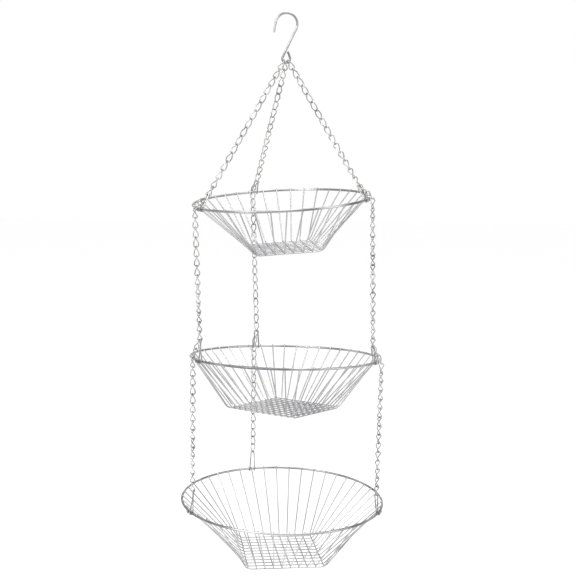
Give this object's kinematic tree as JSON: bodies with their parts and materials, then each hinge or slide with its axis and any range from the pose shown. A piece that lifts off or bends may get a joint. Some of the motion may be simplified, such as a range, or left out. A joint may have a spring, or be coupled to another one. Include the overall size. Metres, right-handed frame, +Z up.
{
  "type": "hanging wire basket set",
  "caption": "Three-tier hanging basket: a plated wire hook and link chains carry three round open wire baskets that grow in width towards the bottom.",
  "frame": {"origin": "underside of the ceiling hook's crown, where the hook bears on its support", "axes": "+Z up, +X to the right seen from the front, +Y away from the front"},
  "size_m": [0.3064, 0.3054, 0.8048],
  "materials": {
    "hook_wire": "zinc plate, bright",
    "chain_wire": "zinc plate, bright",
    "rim_wire": "bright plating",
    "rib_wire": "bright plating",
    "clip_wire": "zinc plate, bright"
  },
  "bodies": {
    "hook": {"ceiling_hook": "hook_wire"},
    "top_basket": {"upper_chain_left": "chain_wire", "upper_chain_right": "chain_wire", "upper_chain_back": "chain_wire", "top_rim": "rim_wire", "top_long_wires": "rib_wire", "top_cross_wires": "rib_wire", "top_clip_left": "clip_wire", "top_clip_right": "clip_wire", "top_clip_back": "clip_wire", "top_tail_left": "chain_wire", "top_tail_right": "chain_wire", "top_tail_back": "chain_wire"},
    "middle_basket": {"middle_lead_left": "chain_wire", "middle_lead_right": "chain_wire", "middle_lead_back": "chain_wire", "middle_rim": "rim_wire", "middle_long_wires": "rib_wire", "middle_cross_wires": "rib_wire", "middle_clip_left": "clip_wire", "middle_clip_right": "clip_wire", "middle_clip_back": "clip_wire", "middle_tail_left": "chain_wire", "middle_tail_right": "chain_wire", "middle_tail_back": "chain_wire"},
    "bottom_basket": {"bottom_lead_left": "chain_wire", "bottom_lead_right": "chain_wire", "bottom_lead_back": "chain_wire", "bottom_rim": "rim_wire", "bottom_long_wires": "rib_wire", "bottom_cross_wires": "rib_wire", "bottom_clip_left": "clip_wire", "bottom_clip_right": "clip_wire", "bottom_clip_back": "clip_wire"},
    "middle_run_left": {"middle_run_left": "chain_wire"},
    "middle_run_right": {"middle_run_right": "chain_wire"},
    "middle_run_back": {"middle_run_back": "chain_wire"},
    "bottom_run_left": {"bottom_run_left": "chain_wire"},
    "bottom_run_right": {"bottom_run_right": "chain_wire"},
    "bottom_run_back": {"bottom_run_back": "chain_wire"}
  },
  "joints": [
    {"name": "basket_swing", "type": "hinge", "parent": "hook", "child": "top_basket", "pos_m": [0, 0, -0.06451], "axis": [1, 0, 0], "range_deg": [-20, 20]},
    {"name": "middle_left_swing", "type": "hinge", "parent": "top_basket", "child": "middle_run_left", "pos_m": [-0.12195, -0.06485, -0.27513], "axis": [-0.8741, -0.4848, -0.0306], "range_deg": [-15, 15]},
    {"name": "middle_basket_level", "type": "hinge", "parent": "middle_run_left", "child": "middle_basket", "pos_m": [-0.11714, -0.06348, -0.43405], "axis": [-0.8741, -0.4848, -0.0306], "range_deg": [-15, 15]},
    {"name": "middle_right_swing", "type": "hinge", "parent": "top_basket", "child": "middle_run_right", "pos_m": [0.12148, -0.04601, -0.26158], "axis": [-0.8741, -0.4848, -0.0306], "range_deg": [-15, 15]},
    {"name": "middle_back_swing", "type": "hinge", "parent": "top_basket", "child": "middle_run_back", "pos_m": [-0.05048, 0.12641, -0.26664], "axis": [-0.8741, -0.4848, -0.0306], "range_deg": [-15, 15]},
    {"name": "bottom_left_swing", "type": "hinge", "parent": "middle_basket", "child": "bottom_run_left", "pos_m": [-0.12665, -0.06836, -0.48438], "axis": [-0.8746, -0.4848, 0.0057], "range_deg": [-15, 15]},
    {"name": "bottom_basket_level", "type": "hinge", "parent": "bottom_run_left", "child": "bottom_basket", "pos_m": [-0.12808, -0.06764, -0.64337], "axis": [-0.8746, -0.4848, 0.0057], "range_deg": [-15, 15]},
    {"name": "bottom_right_swing", "type": "hinge", "parent": "middle_basket", "child": "bottom_run_right", "pos_m": [0.13996, -0.04794, -0.4962], "axis": [-0.8746, -0.4848, 0.0057], "range_deg": [-15, 15]},
    {"name": "bottom_back_swing", "type": "hinge", "parent": "middle_basket", "child": "bottom_run_back", "pos_m": [-0.04838, 0.13896, -0.51534], "axis": [-0.8746, -0.4848, 0.0057], "range_deg": [-15, 15]}
  ],
  "couplings": [
    {"joint": "middle_basket_level", "follows": "middle_left_swing", "ratio": -1},
    {"joint": "middle_right_swing", "follows": "middle_left_swing", "ratio": 1},
    {"joint": "middle_back_swing", "follows": "middle_left_swing", "ratio": 1},
    {"joint": "bottom_basket_level", "follows": "bottom_left_swing", "ratio": -1},
    {"joint": "bottom_right_swing", "follows": "bottom_left_swing", "ratio": 1},
    {"joint": "bottom_back_swing", "follows": "bottom_left_swing", "ratio": 1}
  ]
}
